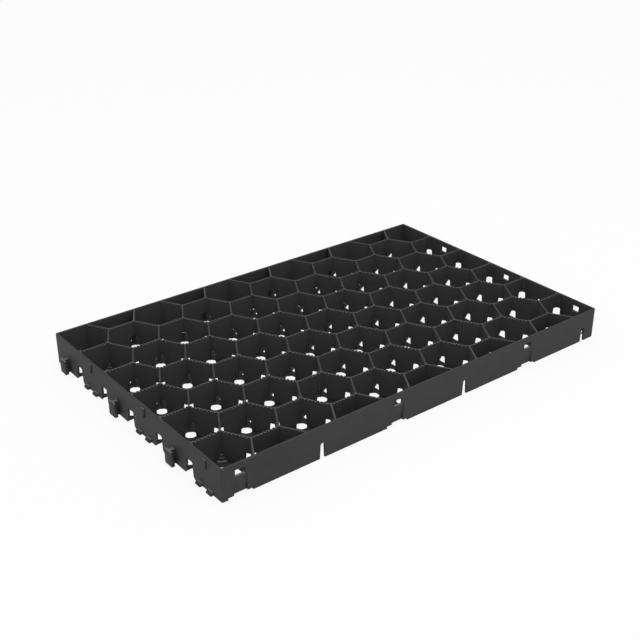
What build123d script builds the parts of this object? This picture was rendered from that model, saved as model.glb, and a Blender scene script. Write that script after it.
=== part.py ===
from build123d import *
from math import sqrt
import os

# Ground stabilizer grid: one moulded plastic honeycomb panel.
# X runs along the long side, Y away from the slotted long side, Z up from the ground.

# Honeycomb lattice
cell_flats = 60.0          # pitch of the cells across their flats
columns = 11               # columns of cells along X, odd so that both ends are alike
rows = 6                   # full cells in an even column along Y
corners = 6                # of a cell
turned = 180 / corners     # turns a cell's corners onto the middles of its webs, in degrees
cell_side = cell_flats / sqrt(3)
column_pitch = 1.5 * cell_side

# Body
height = 39.4              # ground to rim
web = 2.0                  # honeycomb wall
rim_wall = 2.6             # side wall round the panel
end_outset = 4.0           # outer face of a short side wall beyond the last junctions
panel_gap = 2.0            # between the side walls of two joined panels
corner_radius = 2.0        # vertical edges of the panel

# Foot: its openings have their corners at the webs, so it is narrow under a web and wide at a junction
foot_thickness = 2.6
foot_flange = 8.8          # full width of the foot under the middle of a web
drain_radius = 6.9         # to the corners of the hole, at the foot's top
drain_flare = 1.4          # widening of the hole down to the ground
drain_sides = 6

# Arch cut through the webs at each junction
arch_half = 7.2            # junction to the end of each web
arch_top = 19.8
arch_shoulder = 2.2        # bevel under the arch's crown
door_half = 7.2            # half width of the arches through the short side walls
door_sill = 1.6            # room under the foot behind such an arch

# Closed cone in place of the drain hole and the arch at four junctions
cone_foot_radius = 5.4
cone_top_radius = 2.3
cone_height = 10.0
cone_wall = 1.4
cone_sides = 12

# Hooks on two sides that drop into the slots of the next panel
hook_reach = 7.5           # head's outer face from the side wall's outer face
hook_head = 12.0           # width of the head along the side
hook_head_thickness = 2.2
hook_stem = 4.2
hook_height = 18.0
slot_clearance = 0.8       # each side of the stem at the slot's top
slot_flare = 1.1           # widening each side down to the ground
slot_height = 19.0

# Catch below the rim on the hook sides and the window that takes it
catch_width = 6.0
catch_low = 26.5
catch_high = 37.0
catch_lip = 1.2            # upright face at the catch's bottom
catch_reach = 3.6          # at the lip
catch_top_reach = 0.9
catch_clearance = 0.3
window_width = 12.0
window_low = 24.8
window_high = 31.8

# Lead-in under the window: the wall leans inwards towards the ground
lead_width = 16.4
lead_depth = 3.0
lead_high = 24.0

# Foot tabs below the catch and the notch that they enter
tab_width = 9.0
tab_spacing = 20.0
tab_reach = 3.4
tab_height = 4.4
tab_flat = 1.4             # upright part of the tab's outer face
notch_width = 30.2
notch_depth = 9.0          # through the side wall and the foot behind it
notch_height = 4.4

# Connectors on the long sides stand this far from their column's middle
long_side_offset = 1.2

# Places worked out from the lattice
lattice_length = (columns - 1) * column_pitch + cell_side
lattice_depth = rows * cell_flats
left = -end_outset
right = lattice_length + end_outset
front = panel_gap / 2
back = lattice_depth - panel_gap / 2
middle = Vector((left + right) / 2, (front + back) / 2)
shift = Vector(hook_reach / 2, -hook_reach / 2) - middle


def column_x(column):
    """Centre of a column of cells."""
    return cell_side / 2 + column * column_pitch


def cell_centres():
    """Centres of all cells; odd columns start and end with a half cell."""
    centres = []
    for column in range(columns):
        if column % 2 == 0:
            heights = [cell_flats * (row + 0.5) for row in range(rows)]
        else:
            heights = [cell_flats * row for row in range(rows + 1)]
        centres += [Vector(column_x(column), y) for y in heights]
    return centres


def junctions():
    """Points where three webs meet, and where a web meets a short side wall."""
    points = []
    for column in range(columns):
        if column % 2 == 0:
            heights = [cell_flats * row for row in range(1, rows)]
        else:
            heights = [cell_flats * (row + 0.5) for row in range(rows)]
        for y in heights:
            points.append(Vector(column_x(column) - cell_side / 2, y))
            points.append(Vector(column_x(column) + cell_side / 2, y))
    return points


def cone_places():
    """The four junctions that stay closed and carry a cone."""
    near_end = column_x(1) - cell_side
    far_end = column_x(columns - 2) + cell_side
    return [Vector(x, y) for x in (near_end, far_end)
            for y in (cell_flats, lattice_depth - cell_flats)]


def open_junctions():
    """Junctions with a drain hole and an arch."""
    return [point for point in junctions()
            if min((point - cone).length for cone in cone_places()) > cell_side / 2]


def outline():
    """Plan outline of the panel."""
    return Pos(middle) * RectangleRounded(right - left, back - front, corner_radius)


def inside():
    """Plan of everything within the side walls."""
    return Pos(middle) * Rectangle(right - left - 2 * rim_wall, back - front - 2 * rim_wall)


def repeated(shape, places):
    return Sketch() + [Pos(place) * shape for place in places]


def web_plan():
    """Plan of the honeycomb webs and the side walls."""
    cell = RegularPolygon((cell_flats - web) / 2, corners, major_radius=False)
    return outline() - (inside() & repeated(cell, cell_centres()))


def foot_plan():
    """Plan of the foot."""
    opening = RegularPolygon((cell_flats - foot_flange) / 2, corners, rotation=turned)
    return outline() - (inside() & repeated(opening, cell_centres()))


def arches():
    """Posts that cut the arches; their faces stand square to the webs that meet there."""
    plan = RegularPolygon(arch_half, corners, major_radius=False, rotation=turned)
    post = Pos(0, 0, foot_thickness) * extrude(plan, arch_top - foot_thickness)
    post = chamfer(post.faces().sort_by(Axis.Z)[-1].edges(), arch_shoulder)
    return [Pos(point) * post for point in open_junctions()]


def tapered(ground_radius, top_radius, top, sides):
    """Solid that stands on the ground and tapers between two many-sided outlines."""
    turn = 180 / sides
    low = RegularPolygon(ground_radius, sides, rotation=turn)
    high = Pos(0, 0, top) * RegularPolygon(top_radius, sides, rotation=turn)
    return loft([low.face(), high.face()])


def drains():
    """Drain holes through the foot, flared down to the ground."""
    hole = tapered(drain_radius + drain_flare, drain_radius, foot_thickness, drain_sides)
    return [Pos(point) * hole for point in open_junctions()]


def cones():
    """Outer solids and cores of the hollow cones on the closed junctions."""
    shell = tapered(cone_foot_radius, cone_top_radius, cone_height, cone_sides)
    core = tapered(cone_foot_radius - cone_wall, cone_top_radius - cone_wall,
                   cone_height - cone_wall, cone_sides)
    shells = [Pos(place) * shell for place in cone_places()]
    cores = [Pos(place) * core for place in cone_places()]
    return shells, cores


def side_places():
    """Placings on the side walls: hooks, catches, slots and windows.

    Local x runs along the side, local y points out of the panel and z is up.
    """
    middles = [cell_flats * (row + 0.5) for row in range(rows)]
    along = [column_x(column) + long_side_offset for column in range(0, columns, 2)]
    hooks = [Location((left, y, 0), (0, 0, 90)) for y in middles[1::2]]
    hooks += [Location((x, back, 0), (0, 0, 0)) for x in along[1::2]]
    catches = [Location((left, y, 0), (0, 0, 90)) for y in middles[0::2]]
    catches += [Location((x, back, 0), (0, 0, 0)) for x in along[0::2]]
    slots = [Location((right, y, 0), (0, 0, -90)) for y in middles[1::2]]
    slots += [Location((x, front, 0), (0, 0, 180)) for x in along[1::2]]
    windows = [Location((right, y, 0), (0, 0, -90)) for y in middles[0::2]]
    windows += [Location((x, front, 0), (0, 0, 180)) for x in along[0::2]]
    return hooks, catches, slots, windows


def bar(width, profile):
    """Bar along local x whose cross-section is a list of (y, z) points."""
    section = Plane.YZ * make_face(Polyline(*profile, close=True))
    return extrude(section, width / 2, both=True)


def hook():
    """T-shaped hook: a head held off the wall by a stem."""
    outer_edge = (Align.CENTER, Align.MAX)
    head = Pos(0, hook_reach) * Rectangle(hook_head, hook_head_thickness, align=outer_edge)
    stem = Pos(0, hook_reach) * Rectangle(hook_stem, hook_reach + rim_wall / 2, align=outer_edge)
    return extrude(head + stem, hook_height)


def catch_and_tabs():
    """Snap catch under the rim with two sloped tabs at the foot."""
    root = -rim_wall / 2
    catch = bar(catch_width, [
        (root, catch_low), (catch_reach, catch_low), (catch_reach, catch_low + catch_lip),
        (panel_gap - catch_clearance, window_high - catch_clearance),
        (catch_top_reach, catch_high), (root, catch_high)])
    tab = bar(tab_width, [
        (root, 0), (tab_reach, 0), (tab_reach, tab_flat), (0, tab_height), (root, tab_height)])
    return [catch] + [Pos(side * tab_spacing / 2) * tab for side in (-1, 1)]


def slot():
    """Tapered slot with a round top, and room behind it for the next panel's head."""
    top_half = hook_stem / 2 + slot_clearance
    foot_half = top_half + slot_flare
    shoulder = slot_height - top_half
    mouth = Polygon(
        (-foot_half, 0), (foot_half, 0), (top_half, shoulder), (-top_half, shoulder), align=None)
    opening = Plane.XZ * (mouth + Pos(0, shoulder) * Circle(top_half))
    through = extrude(opening, 2 * rim_wall, both=True)
    pocket_depth = hook_reach + slot_clearance - panel_gap - rim_wall
    pocket = Box(hook_head + 2 * slot_clearance, pocket_depth, slot_height,
                 align=(Align.CENTER, Align.MAX, Align.MIN))
    return through + Pos(0, -rim_wall) * pocket


def lead_wedge():
    """Inner side of the leaning stretch of wall under a window."""
    inner = -rim_wall - lead_depth
    return bar(lead_width + 2 * rim_wall, [
        (-rim_wall / 2, 0), (inner, 0), (-rim_wall, lead_high), (-rim_wall / 2, lead_high)])


def window_cuts():
    """Window, the lean below it on the outer side, and the notch for the tabs."""
    window = Pos(0, 0, window_low) * Box(
        window_width, 4 * rim_wall, window_high - window_low,
        align=(Align.CENTER, Align.CENTER, Align.MIN))
    lean = bar(lead_width, [
        (0, lead_high), (-lead_depth, 0), (rim_wall, 0), (rim_wall, lead_high)])
    notch = bar(notch_width, [
        (rim_wall, 0), (-notch_depth, 0), (-notch_depth, notch_height), (rim_wall, notch_height)])
    return [window, lean, notch]


def arch_doors():
    """Arches through the short side walls, open under the plate behind them."""
    face = Rectangle(2 * door_half, arch_top, align=(Align.CENTER, Align.MIN))
    door = extrude(Plane.XZ * face, rim_wall, both=True)
    crown = [edge for edge in door.edges().filter_by(Axis.Y) if edge.center().Z > arch_top / 2]
    door = chamfer(crown, arch_shoulder)
    sill = Box(2 * door_half, 2 * door_half, door_sill, align=(Align.CENTER, Align.CENTER, Align.MIN))
    heights = [cell_flats * row for row in range(1, rows)]
    return ([Location((left, y, 0), (0, 0, 90)) * (door + sill) for y in heights]
            + [Location((right, y, 0), (0, 0, -90)) * (door + sill) for y in heights])


def placed(places, shapes):
    return [place * shape for place in places for shape in shapes]


hook_sites, catch_sites, slot_sites, window_sites = side_places()
cone_shells, cone_cores = cones()
walls = Pos(0, 0, foot_thickness) * extrude(web_plan(), height - foot_thickness)
additions = [walls] + placed(hook_sites, [hook()]) + placed(catch_sites, catch_and_tabs())
additions += placed(window_sites, [lead_wedge()])
cuts = arches() + drains() + arch_doors()
cuts += placed(slot_sites, [slot()]) + placed(window_sites, window_cuts())
panel = extrude(foot_plan(), foot_thickness) + additions - cuts
panel = panel + cone_shells - cone_cores
panel = Pos(shift) * panel
panel.label = "honeycomb_grid"
os.makedirs("parts", exist_ok=True)
export_step(panel, "parts/honeycomb_grid.step")
print("panel", panel.bounding_box().size, panel.volume, len(panel.solids()))
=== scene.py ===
"""Looks of a ground stabilizer grid: one moulded plastic honeycomb panel on a white studio floor.

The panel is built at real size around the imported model, in metres, with X along its long side,
Y away from the slotted long side and Z up from the ground.
"""

import logging
import math
from dataclasses import dataclass, field
from enum import Enum

import bmesh
import bpy
from mathutils import Matrix, Vector


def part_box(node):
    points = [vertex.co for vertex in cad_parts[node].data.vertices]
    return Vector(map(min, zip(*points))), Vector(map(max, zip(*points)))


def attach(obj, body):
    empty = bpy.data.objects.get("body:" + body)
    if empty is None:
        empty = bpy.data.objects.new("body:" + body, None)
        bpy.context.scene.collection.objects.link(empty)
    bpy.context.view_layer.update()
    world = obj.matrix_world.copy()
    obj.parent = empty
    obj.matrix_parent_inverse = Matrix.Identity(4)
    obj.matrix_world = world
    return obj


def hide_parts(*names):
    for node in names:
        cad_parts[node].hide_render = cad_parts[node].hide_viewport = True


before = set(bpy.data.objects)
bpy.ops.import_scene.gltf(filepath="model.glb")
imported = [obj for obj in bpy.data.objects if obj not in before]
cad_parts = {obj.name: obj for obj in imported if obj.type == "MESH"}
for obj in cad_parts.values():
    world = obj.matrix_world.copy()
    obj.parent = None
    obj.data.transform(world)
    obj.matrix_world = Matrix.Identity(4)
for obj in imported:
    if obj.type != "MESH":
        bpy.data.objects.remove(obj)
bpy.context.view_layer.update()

MM = 0.001
NODE = "honeycomb_grid"
SIXTH = math.pi / 3                  # from one corner of a hexagon to the next
BEVEL_SEGMENTS = 2
BEVEL_ROUND = 0.5                    # bevel profile that follows a quarter circle
WHITE = (1.0, 1.0, 1.0, 1.0)
MIX_SHARE = 0                        # input of a Mix node that says how much of B it takes
COLOUR_A, COLOUR_B = 6, 7            # inputs of a Mix node for colours
COLOUR_MIXED = 2                     # its output
VALUE_A, VALUE_B = 2, 3              # inputs of a Mix node for values
Outline = list[tuple[float, float]]
log = logging.getLogger("grid")


class Join(Enum):
    """How one solid is worked into another."""

    ADD = "UNION"
    CUT = "DIFFERENCE"


class Side(Enum):
    """A side of the panel, as the turn in degrees that takes its outward direction from +Y."""

    BACK = 0
    LEFT = 90
    FRONT = 180
    RIGHT = -90


def colour(hex_code: str) -> tuple[float, float, float, float]:
    """Linear colour of an sRGB hex code.

    Args:
        hex_code: six hex digits, as in "303132".

    Returns:
        Linear red, green and blue, with an alpha of 1.
    """
    channels = [int(hex_code[i:i + 2], 16) / 255 for i in (0, 2, 4)]
    # The sRGB curve is straight near black and a power above
    linear = [c / 12.92 if c <= 0.04045 else ((c + 0.055) / 1.055) ** 2.4 for c in channels]
    return linear[0], linear[1], linear[2], 1.0


def add_node(tree: bpy.types.NodeTree, kind: str, sockets: dict[str | int, object] | None = None,
             **settings: object) -> bpy.types.Node:
    """Adds a node, sets it up and links it.

    Args:
        tree: the node tree that gets the node.
        kind: Blender's name of the node type.
        sockets: value or output socket for each input, by the input's name or index.
        settings: the node's own properties.

    Returns:
        The new node.
    """
    node = tree.nodes.new(kind)
    for name, value in settings.items():
        setattr(node, name, value)
    for name, value in (sockets or {}).items():
        if isinstance(value, bpy.types.NodeSocket):
            tree.links.new(value, node.inputs[name])
        else:
            node.inputs[name].default_value = value
    return node


def new_material(name: str) -> tuple[bpy.types.Material, bpy.types.NodeTree]:
    """Makes a material that has no nodes yet.

    Args:
        name: the material's name.

    Returns:
        The material and its node tree.
    """
    material = bpy.data.materials.new(name)
    material.use_nodes = True
    material.node_tree.nodes.clear()
    return material, material.node_tree


class Solids:
    """Closed forms gathered into one mesh."""

    def __init__(self) -> None:
        """Starts with no form."""
        self.mesh = bmesh.new()

    def lofted(self, sections: list[list[Vector]], place: Matrix = Matrix()) -> None:
        """Adds a closed form through sections with equal point counts.

        Args:
            sections: rings of points, each turning the same way, from one end to the other.
            place: where the form goes.
        """
        rings = [[self.mesh.verts.new(place @ point) for point in ring] for ring in sections]
        self.mesh.faces.new(list(reversed(rings[0])))
        self.mesh.faces.new(rings[-1])
        for low, high in zip(rings, rings[1:]):
            for i, _ in enumerate(low):
                j = (i + 1) % len(low)
                self.mesh.faces.new([low[i], low[j], high[j], high[i]])

    def bar(self, width: float, profile: Outline, place: Matrix, ease: float = 0.0) -> None:
        """Adds a bar along local x, with eased edges.

        Args:
            width: length along local x.
            profile: corners of the section as local y and z, turning left.
            place: where the bar goes.
            ease: width of the bevel on each edge.
        """
        ends = [[Vector((x, y, z)) for y, z in profile] for x in (-width / 2, width / 2)]
        self.eased(ends, place, ease)

    def eased(self, sections: list[list[Vector]], place: Matrix, ease: float) -> None:
        """Adds a form whose edges are all bevelled.

        Args:
            sections: rings of points, as for lofted().
            place: where the form goes.
            ease: width of the bevel.
        """
        part = Solids()
        part.lofted(sections)
        if ease > 0:
            bmesh.ops.bevel(part.mesh, geom=part.mesh.edges[:], offset=ease, segments=BEVEL_SEGMENTS,
                            profile=BEVEL_ROUND, affect="EDGES", clamp_overlap=True)
        self.take(part, place)

    def turned(self, profile: Outline, sides: int, place: Matrix) -> None:
        """Adds a form turned about the local z axis.

        Args:
            profile: radius and height of each ring, from the bottom up, none on the axis.
            sides: count of sides.
            place: where the form goes.
        """
        half = math.pi / sides
        turns = [half + 2 * half * i for i in range(sides)]
        self.lofted([[Vector((math.cos(turn) * radius, math.sin(turn) * radius, z)) for turn in turns]
                     for radius, z in profile], place)

    def take(self, other: "Solids", place: Matrix) -> None:
        """Moves the forms of another gathering in here.

        Args:
            other: the gathering, which is used up.
            place: where its forms go.
        """
        made = bpy.data.meshes.new("part")
        other.mesh.to_mesh(made)
        other.mesh.free()
        made.transform(place)
        self.mesh.from_mesh(made)
        bpy.data.meshes.remove(made)

    def to_object(self, name: str) -> bpy.types.Object:
        """Turns the forms into an object with faces that point outwards.

        Args:
            name: the object's name.

        Returns:
            The new object.
        """
        bmesh.ops.recalc_face_normals(self.mesh, faces=self.mesh.faces[:])
        data = bpy.data.meshes.new(name)
        self.mesh.to_mesh(data)
        self.mesh.free()
        made = bpy.data.objects.new(name, data)
        bpy.context.scene.collection.objects.link(made)
        return made


def work(base: bpy.types.Object, tool: Solids, join: Join) -> None:
    """Adds solids to an object or cuts them from it.

    Args:
        base: the object that changes.
        tool: the solids, which are used up.
        join: whether they are added or cut.
    """
    shape = tool.to_object("tool")
    boolean = base.modifiers.new("work", "BOOLEAN")
    boolean.solver = "MANIFOLD"
    boolean.operation = join.value
    boolean.object = shape
    graph = bpy.context.evaluated_depsgraph_get()
    done = bpy.data.meshes.new_from_object(base.evaluated_get(graph))
    base.modifiers.remove(boolean)
    old = base.data
    base.data = done
    bpy.data.meshes.remove(old)
    bpy.data.objects.remove(shape)


def hexagon(flats: float) -> Outline:
    """Corners of a hexagon with two sides along X, given its width across flats."""
    corner = flats / math.sqrt(3)
    return [(corner * math.cos(SIXTH * i), corner * math.sin(SIXTH * i)) for i in range(6)]


def widened(outline: Outline, by: float) -> Outline:
    """Moves the sides of an outline without hollows outwards.

    Args:
        outline: corners, turning left.
        by: distance that each side moves.

    Returns:
        The corners of the larger outline.
    """
    corners = [Vector(corner) for corner in outline]
    moved = []
    for i, corner in enumerate(corners):
        before = (corner - corners[i - 1]).normalized()
        after = (corners[(i + 1) % len(corners)] - corner).normalized()
        outward = Vector((before.y + after.y, -before.x - after.x))
        moved.append(tuple(corner + outward * by / (1 + before.dot(after))))
    return moved


def at(point: Vector, height: float = 0.0) -> Matrix:
    """Placing at a point in plan."""
    return Matrix.Translation((point.x, point.y, height))


def turned_by(angle: float) -> Matrix:
    """Turn about the upright axis."""
    return Matrix.Rotation(angle, 4, "Z")


def posts(profile: Outline, sides: int, points: list[Vector]) -> Solids:
    """Makes a turned form at each of several points.

    Args:
        profile: radius and height of each ring, from the bottom up.
        sides: count of sides.
        points: where the forms stand.

    Returns:
        The forms.
    """
    made = Solids()
    for point in points:
        made.turned(profile, sides, at(point))
    return made


@dataclass
class Lattice:
    """Cells and junctions of the honeycomb."""

    cell_flats: float = 60.0 * MM
    columns: int = 11
    rows: int = 6

    @property
    def cell_side(self) -> float:
        """Length of a web between two junctions."""
        return self.cell_flats / math.sqrt(3)

    @property
    def column_pitch(self) -> float:
        """From one column of cells to the next."""
        return 1.5 * self.cell_side

    @property
    def length(self) -> float:
        """From the first junctions to the last along X."""
        return (self.columns - 1) * self.column_pitch + self.cell_side

    @property
    def depth(self) -> float:
        """From the first webs to the last along Y."""
        return self.rows * self.cell_flats

    def column_x(self, column: int) -> float:
        """Centre of a column of cells."""
        return self.cell_side / 2 + column * self.column_pitch

    def rows_of(self, column: int) -> list[float]:
        """Places of the cells in a column; an odd column starts and ends with a half cell.

        Args:
            column: the column, 0 for the left one.

        Returns:
            Y of each cell's centre.
        """
        if column % 2 == 0:
            return [self.cell_flats * (row + 0.5) for row in range(self.rows)]
        return [self.cell_flats * row for row in range(self.rows + 1)]

    def cells(self) -> list[Vector]:
        """Centres of all cells."""
        return [Vector((self.column_x(c), y)) for c in range(self.columns) for y in self.rows_of(c)]

    def junctions(self) -> list[Vector]:
        """Finds where three webs meet, or a web and a short side wall.

        Returns:
            The junctions in plan.
        """
        found = []
        for column in range(self.columns):
            x = self.column_x(column)
            for y in self.rows_of(column)[:-1]:
                for end in (-1, 1):
                    found.append(Vector((x + end * self.cell_side / 2, y + self.cell_flats / 2)))
        return found

    def closed_junctions(self) -> list[Vector]:
        """The four junctions with a cone in place of the drain hole."""
        ends = (self.column_x(1) - self.cell_side, self.column_x(self.columns - 2) + self.cell_side)
        return [Vector((x, y)) for x in ends for y in (self.cell_flats, self.depth - self.cell_flats)]

    def open_junctions(self) -> list[Vector]:
        """Finds the junctions with a drain hole and an arch.

        Returns:
            The junctions in plan.
        """
        closed = self.closed_junctions()
        return [point for point in self.junctions()
                if min((point - other).length for other in closed) > self.cell_side / 2]

    def webs(self) -> list[tuple[Vector, Vector]]:
        """Finds every web between two junctions, side walls left out.

        Returns:
            Both ends of each web in plan.
        """
        found = []
        half, side = self.cell_flats / 2, self.cell_side
        for column in range(self.columns):
            x = self.column_x(column)
            for y in self.rows_of(column):
                found.append((Vector((x - side / 2, y + half)), Vector((x + side / 2, y + half))))
                if column < self.columns - 1:
                    tip = Vector((x + side, y))
                    found.append((Vector((x + side / 2, y + half)), tip))
                    found.append((Vector((x + side / 2, y - half)), tip))
        margin = half / 2           # a web whose middle is nearer to a long side is that side's wall
        return [(a, b) for a, b in found if margin < (a.y + b.y) / 2 < self.depth - margin]


@dataclass
class Walls:
    """Side walls and honeycomb webs, with the arches that pierce them at the junctions."""

    lattice: Lattice
    height: float = 39.4 * MM
    web: float = 2.0 * MM
    wall: float = 2.6 * MM
    end_outset: float = 4.0 * MM     # outer face of a short side wall beyond the last junctions
    panel_gap: float = 2.0 * MM      # between the side walls of two joined panels
    corner_radius: float = 2.0 * MM
    corner_sides: int = 6
    edge_ease: float = 0.3 * MM
    floor: float = 3.4 * MM          # top of the foot
    arch_half: float = 7.2 * MM      # junction to the end of each web, at the foot
    arch_crown: float = 6.1 * MM     # the same at the crown
    arch_top: float = 19.5 * MM
    arch_round: float = 1.6 * MM
    arch_steps: int = 5
    post_sides: int = 12
    over: float = 5.0 * MM           # how far a cut reaches past the moulding

    @property
    def left(self) -> float:
        """Outer face of the left side wall."""
        return -self.end_outset

    @property
    def right(self) -> float:
        """Outer face of the right side wall."""
        return self.lattice.length + self.end_outset

    @property
    def front(self) -> float:
        """Outer face of the front side wall."""
        return self.panel_gap / 2

    @property
    def back(self) -> float:
        """Outer face of the back side wall."""
        return self.lattice.depth - self.panel_gap / 2

    def outline(self, inset: float) -> list[Vector]:
        """Plan outline of the panel, with rounded corners.

        Args:
            inset: distance inwards from the outer faces.

        Returns:
            Points that turn left, at height 0.
        """
        radius = self.corner_radius
        reach = radius - inset
        points = []
        corners = [(self.right, self.front, -1, 1, -90), (self.right, self.back, -1, -1, 0),
                   (self.left, self.back, 1, -1, 90), (self.left, self.front, 1, 1, 180)]
        for x, y, along, across, start in corners:
            for i in range(self.corner_sides + 1):
                turn = math.radians(start + 90 * i / self.corner_sides)
                points.append(Vector((x + along * radius + reach * math.cos(turn),
                                      y + across * radius + reach * math.sin(turn), 0)))
        return points

    def slab(self) -> bpy.types.Object:
        """Makes the panel before anything is cut from it, with eased edges.

        Returns:
            The solid panel.
        """
        ease = self.edge_ease
        levels = [(0, ease), (ease, 0), (self.height - ease, 0), (self.height, ease)]
        block = Solids()
        block.lofted([[p + Vector((0, 0, z)) for p in self.outline(inset)] for z, inset in levels])
        return block.to_object("honeycomb_panel")

    def clipped(self, outline: Outline, centre: Vector) -> Outline:
        """Cuts a cell's outline off at the inner faces of the side walls.

        Args:
            outline: corners about the centre, turning left.
            centre: the cell's centre.

        Returns:
            The outline's corners about the centre that are left.
        """
        limits = [(1, 0, self.right - self.wall - centre.x), (-1, 0, centre.x - self.left - self.wall),
                  (0, 1, self.back - self.wall - centre.y), (0, -1, centre.y - self.front - self.wall)]
        points = outline
        for nx, ny, limit in limits:
            kept = []
            for i, (x, y) in enumerate(points):
                px, py = points[i - 1]
                here, before = nx * x + ny * y - limit, nx * px + ny * py - limit
                if (here < 0) != (before < 0):
                    share = before / (before - here)
                    kept.append((px + (x - px) * share, py + (y - py) * share))
                if here <= 0:
                    kept.append((x, y))
            points = kept
        return points

    def hollows(self) -> Solids:
        """Makes the cells above the foot, with eased edges at the rim.

        Returns:
            The forms to cut.
        """
        tool = Solids()
        ease = self.edge_ease
        for centre in self.lattice.cells():
            plain = self.clipped(hexagon(self.lattice.cell_flats - self.web), centre)
            rings = [(plain, self.floor), (plain, self.height - ease), (widened(plain, ease), self.height)]
            sections = [[Vector((x, y, z)) for x, y in ring] for ring, z in rings]
            sections.append([p + Vector((0, 0, self.over)) for p in sections[-1]])
            tool.lofted(sections, at(centre))
        return tool

    def arch_profile(self) -> Outline:
        """Draws one side of an arch, from the foot to its crown.

        Returns:
            Half width and height at each point.
        """
        radius = self.arch_round
        points = [(self.arch_half, self.floor)]
        for i in range(self.arch_steps + 1):
            turn = math.pi / 2 * i / self.arch_steps
            points.append((self.arch_crown - radius * (1 - math.cos(turn)),
                           self.arch_top - radius * (1 - math.sin(turn))))
        return points

    def arches(self) -> Solids:
        """Makes the posts that cut the arches through the webs.

        Returns:
            The forms to cut.
        """
        corner = 1 / math.cos(math.pi / self.post_sides)
        profile = [(half * corner, z) for half, z in self.arch_profile()]
        return posts(profile, self.post_sides, self.lattice.open_junctions())


@dataclass
class Teeth:
    """Small grip teeth along the rim of the webs."""

    walls: Walls
    per_web: int = 8
    gap: float = 2.3 * MM            # between two teeth at the rim
    gap_floor: float = 1.5 * MM      # between their roots
    depth: float = 1.1 * MM
    over: float = 1.0 * MM           # how far a gap's cut reaches past the web

    def gaps(self) -> Solids:
        """Makes the gaps between the teeth.

        Returns:
            The forms to cut.
        """
        tool = Solids()
        lattice = self.walls.lattice
        reach = self.walls.web / 2 + self.over
        pitch = lattice.cell_side / self.per_web
        for start, end in lattice.webs():
            along = (end - start).normalized()
            turn = turned_by(math.atan2(along.y, along.x))
            for i in range(1, self.per_web):
                middle = start + along * pitch * i
                self.notch(tool, reach, at(middle, self.walls.height) @ turn)
        return tool

    def notch(self, tool: Solids, reach: float, place: Matrix) -> None:
        """Adds one notch across a web.

        Args:
            tool: gathers the notch.
            reach: half its length across the web.
            place: middle of the notch at the rim, local x along the web.
        """
        flare = (self.gap - self.gap_floor) / self.depth * self.over / 2
        halves = [(-self.depth, self.gap_floor / 2), (self.over, self.gap / 2 + flare)]
        sections = [[Vector((x, y, z)) for x, y in ((-h, -reach), (h, -reach), (h, reach), (-h, reach))]
                    for z, h in halves]
        tool.lofted(sections, place)


@dataclass
class Foot:
    """Flanges, junction plates with drain holes, and the four cones."""

    walls: Walls
    flange: float = 8.8 * MM         # full width of the foot under the middle of a web
    underside: float = 1.9 * MM      # top of the hollow under the foot
    hole_radius: float = 6.9 * MM
    hole_room: float = 9.5 * MM      # the webs under a plate end this far from its hole's middle
    hole_sides: int = 32
    # Radius and height at each turn of a cone's outer face, from the plate up
    cone_steps: tuple[tuple[float, float], ...] = (
        (7.4 * MM, 4.4 * MM), (5.0 * MM, 4.8 * MM), (4.4 * MM, 7.6 * MM), (3.5 * MM, 8.1 * MM),
        (3.1 * MM, 10.7 * MM), (2.7 * MM, 11.2 * MM))
    cone_foot: float = 7.7 * MM
    cone_wall: float = 1.2 * MM
    cone_sides: int = 32

    def opening(self) -> Outline:
        """Draws a cell's opening in the foot, a hexagon with its corners at the middles of the webs.

        Returns:
            The corners about the cell's centre, turning left.
        """
        corner = (self.walls.lattice.cell_flats - self.flange) / 2
        turns = [SIXTH * (i + 0.5) for i in range(6)]
        return [(corner * math.cos(turn), corner * math.sin(turn)) for turn in turns]

    def cut(self, outline: Outline, top: float) -> Solids:
        """Makes upright cuts from below in every cell.

        Args:
            outline: corners about a cell's centre, turning left.
            top: height that the cuts reach.

        Returns:
            The forms to cut.
        """
        tool = Solids()
        ends = (-self.walls.over, top)
        for centre in self.walls.lattice.cells():
            ring = self.walls.clipped(outline, centre)
            tool.lofted([[Vector((x, y, z)) for x, y in ring] for z in ends], at(centre))
        return tool

    def openings(self) -> list[Solids]:
        """Makes the cells' openings, and the hollows between the webs that leave the foot thin.

        Returns:
            The forms to cut, openings first.
        """
        lattice = self.walls.lattice
        return [self.cut(self.opening(), self.walls.floor + self.walls.edge_ease),
                self.cut(hexagon(lattice.cell_flats - self.walls.web), self.underside)]

    def drains(self) -> Solids:
        """Makes the drain holes through the plates, with the webs under the plates kept clear of them.

        Returns:
            The forms to cut.
        """
        profile = [(self.hole_room, -self.walls.over), (self.hole_room, self.underside),
                   (self.hole_radius, self.underside),
                   (self.hole_radius, self.walls.floor + self.walls.edge_ease)]
        return posts(profile, self.hole_sides, self.walls.lattice.open_junctions())

    def cones(self) -> Solids:
        """Makes the stepped cones, rooted in the closed plates.

        Returns:
            The forms to add.
        """
        root = self.walls.floor / 2
        profile = [(self.cone_foot, root), (self.cone_foot, self.walls.floor), *self.cone_steps]
        return posts(profile, self.cone_sides, self.walls.lattice.closed_junctions())

    def cone_cores(self) -> Solids:
        """Makes the hollows under the cones.

        Returns:
            The forms to cut.
        """
        wall = self.cone_wall
        steps = [(radius - wall, z - wall) for radius, z in self.cone_steps]
        profile = [(self.cone_foot - wall, -self.walls.over), *steps]
        return posts(profile, self.cone_sides, self.walls.lattice.closed_junctions())


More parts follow.
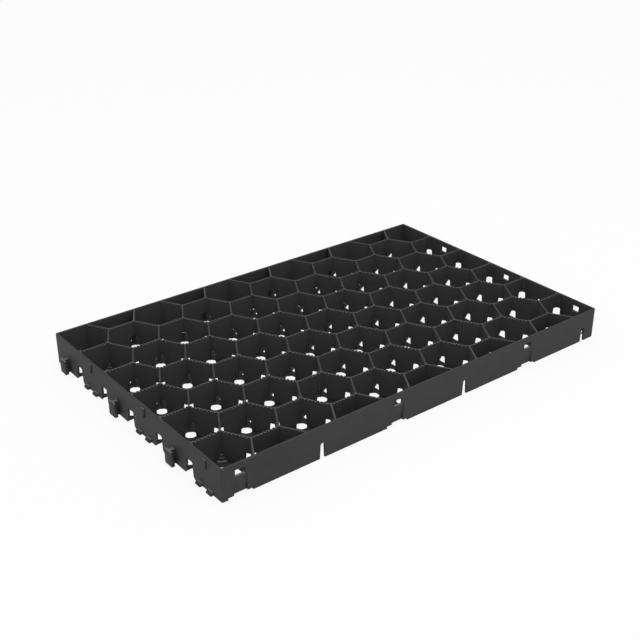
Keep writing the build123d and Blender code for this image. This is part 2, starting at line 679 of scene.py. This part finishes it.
@dataclass
class Connectors:
    """Hooks, catches and tabs on two sides, and the slots, windows and notches that take them."""

    walls: Walls
    long_side_offset: float = 1.2 * MM       # from a column's middle, on the long sides
    ease: float = 0.35 * MM
    hook_reach: float = 7.5 * MM             # head's outer face from the side wall's outer face
    hook_head: float = 13.5 * MM
    hook_head_thickness: float = 2.2 * MM    # at the head's top
    hook_head_foot: float = 4.2 * MM         # the same at the ground
    hook_stem: float = 4.2 * MM
    hook_height: float = 18.0 * MM
    slot_clearance: float = 0.6 * MM         # each side of the stem at the slot's top
    slot_flare: float = 1.1 * MM             # widening each side down to the ground
    slot_height: float = 19.0 * MM
    slot_steps: int = 10
    slot_shift: float = 0.8 * MM             # along the long side
    heel_width: float = 24.0 * MM            # room in the foot behind a slot
    heel_depth: float = 10.0 * MM
    catch_width: float = 6.4 * MM
    catch_low: float = 26.5 * MM
    catch_high: float = 37.0 * MM
    catch_lip: float = 1.2 * MM              # upright face at the catch's bottom
    catch_reach: float = 2.2 * MM            # at the lip
    catch_top_reach: float = 1.0 * MM
    window_width: float = 12.2 * MM
    end_window_width: float = 10.2 * MM      # in the short side
    window_low: float = 24.8 * MM
    window_high: float = 32.2 * MM
    lead_width: float = 16.4 * MM            # stretch of wall that leans inwards under a window
    lead_depth: float = 3.0 * MM
    lead_high: float = 24.0 * MM
    tab_width: float = 9.0 * MM
    tab_spacing: float = 20.0 * MM
    tab_reach: float = 3.4 * MM
    tab_height: float = 4.4 * MM
    tab_flat: float = 2.0 * MM               # upright part of the tab's outer face
    tab_shift: float = 1.2 * MM
    notch_width: float = 30.2 * MM
    notch_depth: float = 9.0 * MM
    notch_height: float = 2.7 * MM
    door_sill: float = 2.7 * MM              # room under the foot behind an arch in a short side

    def places(self, side: Side, first: int) -> list[Matrix]:
        """Placings along a side: local x along it, local y outwards.

        Args:
            side: the side of the panel.
            first: 0 for every second place from the first, 1 for those between.

        Returns:
            The placings.
        """
        lattice, walls = self.walls.lattice, self.walls
        turn = turned_by(math.radians(side.value))
        if side in (Side.LEFT, Side.RIGHT):
            x = walls.left if side is Side.LEFT else walls.right
            points = [Vector((x, y)) for y in lattice.rows_of(0)]
        else:
            y = walls.front if side is Side.FRONT else walls.back
            points = [Vector((lattice.column_x(column) + self.long_side_offset, y))
                      for column in range(0, lattice.columns, 2)]
        return [at(point) @ turn for point in points[first::2]]

    def hooks(self) -> list[Solids]:
        """Makes the T-shaped hooks, whose heads thicken towards the ground.

        Returns:
            The forms to add, stems first.
        """
        stems, heads = Solids(), Solids()
        root, tip, top = -self.walls.wall / 2, self.hook_reach, self.hook_height
        stem = [(root, 0), (tip - self.ease, 0), (tip - self.ease, top), (root, top)]
        head = [(tip - self.hook_head_foot, 0), (tip, 0), (tip, top),
                (tip - self.hook_head_thickness, top)]
        for place in self.places(Side.LEFT, 1) + self.places(Side.BACK, 1):
            stems.bar(self.hook_stem, stem, place, self.ease)
            heads.bar(self.hook_head, head, place, self.ease)
        return [stems, heads]

    def catches(self) -> Solids:
        """Makes the snap catches under the rim, and the pairs of tabs at the foot.

        Returns:
            The forms to add.
        """
        tool = Solids()
        root = -self.walls.wall / 2
        catch = [(root, self.catch_low), (self.catch_reach, self.catch_low),
                 (self.catch_reach, self.catch_low + self.catch_lip),
                 (self.catch_top_reach, self.catch_high), (root, self.catch_high)]
        tab = [(root, 0), (self.tab_reach, 0), (self.tab_reach, self.tab_flat), (0, self.tab_height),
               (root, self.tab_height)]
        for place in self.places(Side.LEFT, 0) + self.places(Side.BACK, 0):
            tool.bar(self.catch_width, catch, place, self.ease)
            for side in (-1, 1):
                shift = Matrix.Translation((side * self.tab_spacing / 2 + self.tab_shift, 0, 0))
                tool.bar(self.tab_width, tab, place @ shift, self.ease)
        return tool

    def slot_outline(self) -> Outline:
        """Draws a slot, which tapers upwards to a round top.

        Returns:
            Distance along the wall and height of each point, turning left.
        """
        top_half = self.hook_stem / 2 + self.slot_clearance
        foot_half = top_half + self.slot_flare
        shoulder = self.slot_height - top_half
        turns = [math.pi * i / self.slot_steps for i in range(self.slot_steps + 1)]
        arc = [(top_half * math.cos(turn), shoulder + top_half * math.sin(turn)) for turn in turns]
        return [(-foot_half, -self.walls.over), (foot_half, -self.walls.over), *arc]

    def slots(self) -> list[Solids]:
        """Makes the slots, and the room behind them for the next panel's hook heads.

        Returns:
            The forms to cut: through the wall, behind it and in the foot.
        """
        mouths, pockets, heels = Solids(), Solids(), Solids()
        wall, below, top = self.walls.wall, self.walls.over, self.slot_height
        depth = self.hook_reach + self.slot_clearance - self.walls.panel_gap
        pocket = [(-depth, -below), (-wall, -below), (-wall, top), (-depth, top)]
        pocket_half = self.hook_head / 2 + self.slot_clearance
        foot = self.walls.floor + self.walls.edge_ease
        heel = [(-self.heel_depth, -below), (-wall, -below), (-wall, foot), (-self.heel_depth, foot)]
        outline = self.slot_outline()
        mouth = [[Vector((x, y, z)) for x, z in outline] for y in (2 * wall, -2 * wall)]
        shift = Matrix.Translation((self.slot_shift, 0, 0))
        shifted = [place @ shift for place in self.places(Side.FRONT, 1)]
        for place in self.places(Side.RIGHT, 1) + shifted:
            mouths.lofted(mouth, place)
            pockets.bar(2 * pocket_half, pocket, place)
            heels.bar(self.heel_width, heel, place)
        return [mouths, pockets, heels]

    def lead_backs(self) -> Solids:
        """Makes the inner sides of the leaning stretches of wall under the windows.

        Returns:
            The forms to add.
        """
        tool = Solids()
        wall = self.walls.wall
        profile = [(-wall - self.lead_depth, 0), (-wall / 2, 0), (-wall / 2, self.lead_high),
                   (-wall, self.lead_high)]
        for place in self.places(Side.RIGHT, 0) + self.places(Side.FRONT, 0):
            tool.bar(self.lead_width + 2 * wall, profile, place)
        return tool

    def window_cuts(self) -> list[Solids]:
        """Makes the windows, the leans below them, and the notches for the tabs.

        Returns:
            The forms to cut, in that order.
        """
        windows, leans, notches = Solids(), Solids(), Solids()
        wall, below, through = self.walls.wall, self.walls.over, 2 * self.walls.wall
        window = [(-through, self.window_low), (through, self.window_low), (through, self.window_high),
                  (-through, self.window_high)]
        slope = self.lead_depth / self.lead_high
        lean = [(-self.lead_depth - slope * below, -below), (wall, -below), (wall, self.lead_high),
                (0, self.lead_high)]
        notch = [(-self.notch_depth, -below), (wall, -below), (wall, self.notch_height),
                 (-self.notch_depth, self.notch_height)]
        for side, width in ((Side.RIGHT, self.end_window_width), (Side.FRONT, self.window_width)):
            for place in self.places(side, 0):
                windows.bar(width, window, place)
                leans.bar(self.lead_width, lean, place)
                notches.bar(self.notch_width, notch, place)
        return [windows, leans, notches]

    def doors(self) -> list[Solids]:
        """Makes the arches through the short side walls, and the room under the plates behind them.

        Returns:
            The forms to cut, arches first.
        """
        doors, sills = Solids(), Solids()
        walls = self.walls
        right = walls.arch_profile()[1:]
        left = [(-half, z) for half, z in reversed(right)]
        outline = [(-walls.arch_half, -walls.over), (walls.arch_half, -walls.over), *right, *left]
        door = [[Vector((x, y, z)) for x, z in outline] for y in (walls.wall, -walls.wall)]
        sill = [(-walls.arch_half, -walls.over), (walls.wall, -walls.over), (walls.wall, self.door_sill),
                (-walls.arch_half, self.door_sill)]
        for side, x in ((Side.LEFT, walls.left), (Side.RIGHT, walls.right)):
            turn = turned_by(math.radians(side.value))
            for row in range(1, walls.lattice.rows):
                place = at(Vector((x, row * walls.lattice.cell_flats))) @ turn
                doors.lofted(door, place)
                sills.bar(2 * walls.arch_half, sill, place)
        return [doors, sills]


@dataclass(frozen=True)
class MouldedPlastic:
    """Recycled polyethylene, injection moulded and dyed black.

    The fine spark-eroded grain of the mould leaves a matt dark grey with faint flow streaks. Small
    faces that look up above the foot, such as the tops of hooks, get a painted highlight: a paler
    colour and a lower roughness, standing in for the light from above. The teeth get a weaker painted
    highlight, and the rims of the side walls get none.
    """

    name: str = "recycled_polyethylene_moulded_black"
    body: str = "3a3a3b"
    streak: str = "444445"
    # Painted highlight: the paler colour that faces looking up get, in place of the light from above
    painted_highlight: str = "7c7c7d"
    roughness_low: float = 0.50
    roughness_high: float = 0.62
    # Lower roughness on the faces that get the painted highlight
    highlight_roughness: float = 0.42
    ior: float = 1.51
    gloss: float = 0.08                  # the mould grain takes most of the gloss away
    grain: float = 0.5 * MM              # real grain is near 0.1 mm, drawn coarser so that it shows
    grain_depth: float = 0.02 * MM
    grain_detail: float = 2.0
    grain_roughness: float = 0.6
    streak_width: float = 14.0 * MM
    streak_detail: float = 4.0
    streak_roughness: float = 0.55
    highlight_above: float = 3.6 * MM          # the painted highlight starts just above the foot
    highlight_band: float = 1.2 * MM          # depth of the rim band where the painted highlight falls to the teeth's share
    highlight_tilt: float = 0.5                # upward share of a face's direction where the painted highlight starts
    teeth_highlight: float = 0.22                # share of the painted highlight that the teeth get

    def between(self, tree: bpy.types.NodeTree, place: bpy.types.NodeSocket, low: Vector,
                high: Vector) -> bpy.types.NodeSocket:
        """Makes a mask of the webs that leaves the side walls out.

        Args:
            tree: the material's node tree.
            place: the point's coordinates.
            low: lowest corner of the webs in plan.
            high: highest corner of the webs in plan.

        Returns:
            1 between the side walls and 0 on them.
        """
        axes = add_node(tree, "ShaderNodeSeparateXYZ", {"Vector": place})
        inside = []
        for axis, name in enumerate("XY"):
            above = add_node(tree, "ShaderNodeMath", {
                0: axes.outputs[name], 1: low[axis]}, operation="GREATER_THAN")
            below = add_node(tree, "ShaderNodeMath", {
                0: axes.outputs[name], 1: high[axis]}, operation="LESS_THAN")
            both = add_node(tree, "ShaderNodeMath", {
                0: above.outputs[0], 1: below.outputs[0]}, operation="MULTIPLY")
            inside.append(both.outputs[0])
        mask = add_node(tree, "ShaderNodeMath", {0: inside[0], 1: inside[1]}, operation="MULTIPLY")
        return mask.outputs[0]

    def painted_highlight_mask(self, tree: bpy.types.NodeTree, place: bpy.types.NodeSocket, rim: float,
                webs: bpy.types.NodeSocket) -> bpy.types.NodeSocket:
        """Makes a mask of the painted highlight: faces above the foot that look up, lit from above.

        Args:
            tree: the material's node tree.
            place: the point's coordinates.
            rim: height of the rim.
            webs: mask of the webs, without the side walls.

        Returns:
            1 where the painted highlight is strongest and 0 where there is none.
        """
        teeth = add_node(tree, "ShaderNodeMath", {0: webs, 1: self.teeth_highlight}, operation="MULTIPLY")
        height = add_node(tree, "ShaderNodeSeparateXYZ", {"Vector": place}).outputs["Z"]
        facing = add_node(tree, "ShaderNodeNewGeometry").outputs["Normal"]
        upward = add_node(tree, "ShaderNodeSeparateXYZ", {"Vector": facing}).outputs["Z"]
        raised = add_node(tree, "ShaderNodeMath", {
            0: height, 1: self.highlight_above}, operation="GREATER_THAN")
        share = add_node(tree, "ShaderNodeMapRange", {
            "Value": height, "From Min": rim - self.highlight_band, "From Max": rim - self.highlight_band / 2,
            "To Min": 1.0, "To Max": teeth.outputs[0]})
        on_top = add_node(tree, "ShaderNodeMapRange", {
            "Value": upward, "From Min": self.highlight_tilt, "From Max": 1.0})
        above_foot = add_node(tree, "ShaderNodeMath", {
            0: on_top.outputs["Result"], 1: raised.outputs[0]}, operation="MULTIPLY")
        # Painted highlight: strongest on up-facing faces above the foot, weaker at the rim
        highlight_share = add_node(tree, "ShaderNodeMath", {
            0: above_foot.outputs[0], 1: share.outputs["Result"]}, operation="MULTIPLY")
        return highlight_share.outputs[0]

    def material(self, rim: float, low: Vector, high: Vector) -> bpy.types.Material:
        """Builds the material.

        Args:
            rim: height of the rim, where the teeth get a weaker painted highlight.
            low: lowest corner of the webs in plan.
            high: highest corner of the webs in plan.

        Returns:
            The material.
        """
        material, tree = new_material(self.name)
        place = add_node(tree, "ShaderNodeTexCoord").outputs["Object"]
        highlight_share = self.painted_highlight_mask(tree, place, rim, self.between(tree, place, low, high))
        streaks = add_node(tree, "ShaderNodeTexNoise", {
            "Vector": place, "Scale": 1 / self.streak_width, "Detail": self.streak_detail,
            "Roughness": self.streak_roughness})
        grain = add_node(tree, "ShaderNodeTexNoise", {
            "Vector": place, "Scale": 1 / self.grain, "Detail": self.grain_detail,
            "Roughness": self.grain_roughness})
        mottled = add_node(tree, "ShaderNodeMix", {
            MIX_SHARE: streaks.outputs["Fac"], COLOUR_A: colour(self.body),
            COLOUR_B: colour(self.streak)}, data_type="RGBA")
        # Painted highlight: faces that look up are mixed towards the paler colour
        tone = add_node(tree, "ShaderNodeMix", {
            MIX_SHARE: highlight_share, COLOUR_A: mottled.outputs[COLOUR_MIXED],
            COLOUR_B: colour(self.painted_highlight)}, data_type="RGBA")
        moulded = add_node(tree, "ShaderNodeMapRange", {
            "Value": streaks.outputs["Fac"], "To Min": self.roughness_low,
            "To Max": self.roughness_high})
        rough = add_node(tree, "ShaderNodeMix", {
            MIX_SHARE: highlight_share, VALUE_A: moulded.outputs["Result"],
            VALUE_B: self.highlight_roughness}, data_type="FLOAT")
        relief = add_node(tree, "ShaderNodeBump", {
            "Strength": 1.0, "Distance": self.grain_depth, "Height": grain.outputs["Fac"]})
        shader = add_node(tree, "ShaderNodeBsdfPrincipled", {
            "Base Color": tone.outputs[COLOUR_MIXED], "Roughness": rough.outputs[0],
            "IOR": self.ior, "Specular IOR Level": self.gloss, "Normal": relief.outputs["Normal"]})
        add_node(tree, "ShaderNodeOutputMaterial", {"Surface": shader.outputs["BSDF"]})
        return material


@dataclass
class Panel:
    """The whole panel: walls, foot, connectors and rim teeth, in one moulding."""

    lattice: Lattice = field(default_factory=Lattice)
    finish: MouldedPlastic = field(default_factory=MouldedPlastic)
    smooth_below: float = math.radians(28)       # steeper folds between faces stay sharp

    def __post_init__(self) -> None:
        """Makes the sub-assemblies on the same lattice."""
        self.walls = Walls(self.lattice)
        self.foot = Foot(self.walls)
        self.teeth = Teeth(self.walls)
        self.connectors = Connectors(self.walls)

    def build(self) -> bpy.types.Object:
        """Moulds the panel and moves it to its place in the frame.

        Returns:
            The panel.
        """
        panel = self.walls.slab()
        steps = [("cells", Join.CUT, self.walls.hollows())]
        steps += [("foot", Join.CUT, tool) for tool in self.foot.openings()]
        steps += [("lead backs", Join.ADD, self.connectors.lead_backs())]
        steps += [("arches", Join.CUT, self.walls.arches())]
        steps += [("drains", Join.CUT, self.foot.drains())]
        steps += [("cones", Join.ADD, self.foot.cones())]
        steps += [("cone hollows", Join.CUT, self.foot.cone_cores())]
        steps += [("hooks", Join.ADD, tool) for tool in self.connectors.hooks()]
        steps += [("catches", Join.ADD, self.connectors.catches())]
        steps += [("doors", Join.CUT, tool) for tool in self.connectors.doors()]
        steps += [("slots", Join.CUT, tool) for tool in self.connectors.slots()]
        steps += [("windows", Join.CUT, tool) for tool in self.connectors.window_cuts()]
        steps += [("teeth", Join.CUT, self.teeth.gaps())]
        for name, join, tool in steps:
            work(panel, tool, join)
            log.info("%s %s: %d faces", join.name.lower(), name, len(panel.data.polygons))
        low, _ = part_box(NODE)
        left = self.walls.left - self.connectors.hook_reach
        panel.data.transform(Matrix.Translation((low.x - left, low.y - self.walls.front, 0)))
        self.shade(panel)
        return panel

    def shade(self, panel: bpy.types.Object) -> None:
        """Shades rounds smoothly, keeps real edges sharp and gives the panel its plastic.

        Args:
            panel: the finished panel.
        """
        data = panel.data
        data.polygons.foreach_set("use_smooth", [True] * len(data.polygons))
        data.set_sharp_from_angle(angle=self.smooth_below)
        data.materials.clear()
        # The side walls' inner faces lie this far inside the frame's box, which holds the hooks too
        wall = self.walls.wall
        hooked = self.connectors.hook_reach + wall
        low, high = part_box(NODE)
        inner_low, inner_high = low + Vector((hooked, wall, 0)), high - Vector((wall, hooked, 0))
        data.materials.append(self.finish.material(self.walls.height, inner_low, inner_high))

    def join_frame(self, panel: bpy.types.Object) -> None:
        """Puts the panel in the place of its plain model.

        Args:
            panel: the finished panel.
        """
        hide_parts(NODE)
        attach(panel, "root")
        triangles = sum(len(face.vertices) - 2 for face in panel.data.polygons)
        log.info("%s: %d triangles", panel.name, triangles)


@dataclass(frozen=True)
class PaintedBoard:
    """Board painted matt white: it shows white to the camera and keeps a faint shadow."""

    name: str = "painted_board_matt_white"
    paint: str = "f4f4f4"
    glow: float = 0.9                # share of pure white that the camera and a gloss see

    def material(self) -> bpy.types.Material:
        """Builds the material.

        Returns:
            The material.
        """
        material, tree = new_material(self.name)
        path = add_node(tree, "ShaderNodeLightPath")
        seen = add_node(tree, "ShaderNodeMath", {
            0: path.outputs["Is Camera Ray"], 1: path.outputs["Is Glossy Ray"]}, operation="MAXIMUM")
        share = add_node(tree, "ShaderNodeMath", {0: seen.outputs[0], 1: self.glow}, operation="MULTIPLY")
        matt = add_node(tree, "ShaderNodeBsdfDiffuse", {"Color": colour(self.paint)})
        glow = add_node(tree, "ShaderNodeEmission", {"Color": WHITE, "Strength": 1.0})
        mixed = add_node(tree, "ShaderNodeMixShader", {
            0: share.outputs[0], 1: matt.outputs[0], 2: glow.outputs[0]})
        add_node(tree, "ShaderNodeOutputMaterial", {"Surface": mixed.outputs[0]})
        return material


@dataclass
class Studio:
    """White floor that runs out of sight, and even light from all round with a soft lamp above."""

    finish: PaintedBoard = field(default_factory=PaintedBoard)
    floor_size: float = 12.0
    sky: float = 0.77                # strength of the even light
    lamp_power: float = 9.0
    lamp_size: float = 1.2
    lamp_place: tuple[float, float, float] = (0.0, -0.6, 1.8)

    def floor(self) -> bpy.types.Object:
        """Lays the floor that the panel stands on.

        Returns:
            The floor.
        """
        half = self.floor_size / 2
        form = bmesh.new()
        plan = ((-half, -half), (half, -half), (half, half), (-half, half))
        form.faces.new([form.verts.new((x, y, 0)) for x, y in plan])
        data = bpy.data.meshes.new("studio_floor")
        form.to_mesh(data)
        form.free()
        floor = bpy.data.objects.new("studio_floor", data)
        bpy.context.scene.collection.objects.link(floor)
        floor.data.materials.append(self.finish.material())
        return floor

    def world(self) -> None:
        """Lights the panel evenly from all round, by what the camera itself sees as white."""
        world = bpy.data.worlds.new("studio_surround")
        world.use_nodes = True
        tree = world.node_tree
        tree.nodes.clear()
        path = add_node(tree, "ShaderNodeLightPath")
        light = add_node(tree, "ShaderNodeBackground", {"Color": WHITE, "Strength": self.sky})
        white = add_node(tree, "ShaderNodeBackground", {"Color": WHITE, "Strength": 1.0})
        mixed = add_node(tree, "ShaderNodeMixShader", {
            0: path.outputs["Is Camera Ray"], 1: light.outputs[0], 2: white.outputs[0]})
        add_node(tree, "ShaderNodeOutputWorld", {"Surface": mixed.outputs[0]})
        bpy.context.scene.world = world

    def lamp(self) -> None:
        """Hangs a soft box above the panel, a little to the front, and aims it at the panel's middle."""
        data = bpy.data.lights.new("soft_box", "AREA")
        data.shape = "SQUARE"
        data.size = self.lamp_size
        data.energy = self.lamp_power
        lamp = bpy.data.objects.new("soft_box", data)
        bpy.context.scene.collection.objects.link(lamp)
        place = Vector(self.lamp_place)
        aim = (-place).to_track_quat("-Z", "Y").to_matrix().to_4x4()
        lamp.matrix_world = Matrix.Translation(place) @ aim


@dataclass
class Viewpoint:
    """Camera at the photograph's viewing angle."""

    eye: tuple[float, float, float] = (-0.72656, -0.90642, 0.63938)
    heading: float = math.radians(51.723)        # from +X towards +Y
    dip: float = math.radians(27.297)            # below level
    lean: float = math.radians(-0.044)           # about the line of sight
    lens: float = 59.97                          # in millimetres, as Blender takes it
    sensor: float = 36.0                         # likewise

    def camera(self) -> None:
        """Sets the camera up where the photograph was taken from."""
        data = bpy.data.cameras.new("camera")
        data.lens = self.lens
        data.sensor_width = self.sensor
        camera = bpy.data.objects.new("camera", data)
        bpy.context.scene.collection.objects.link(camera)
        ahead = Vector((math.cos(self.dip) * math.cos(self.heading),
                        math.cos(self.dip) * math.sin(self.heading), -math.sin(self.dip)))
        turn = ahead.to_track_quat("-Z", "Y").to_matrix().to_4x4()
        camera.matrix_world = Matrix.Translation(self.eye) @ turn @ turned_by(-self.lean)
        bpy.context.scene.camera = camera


def main() -> None:
    """Builds the panel and the studio."""
    logging.basicConfig(level=logging.INFO, format="%(message)s")
    bpy.context.scene.view_settings.view_transform = "Standard"
    whole = Panel()
    panel = whole.build()
    whole.join_frame(panel)
    studio = Studio()
    log.info("%s laid", studio.floor().name)
    studio.world()
    studio.lamp()
    Viewpoint().camera()


if __name__ == "__main__":
    main()
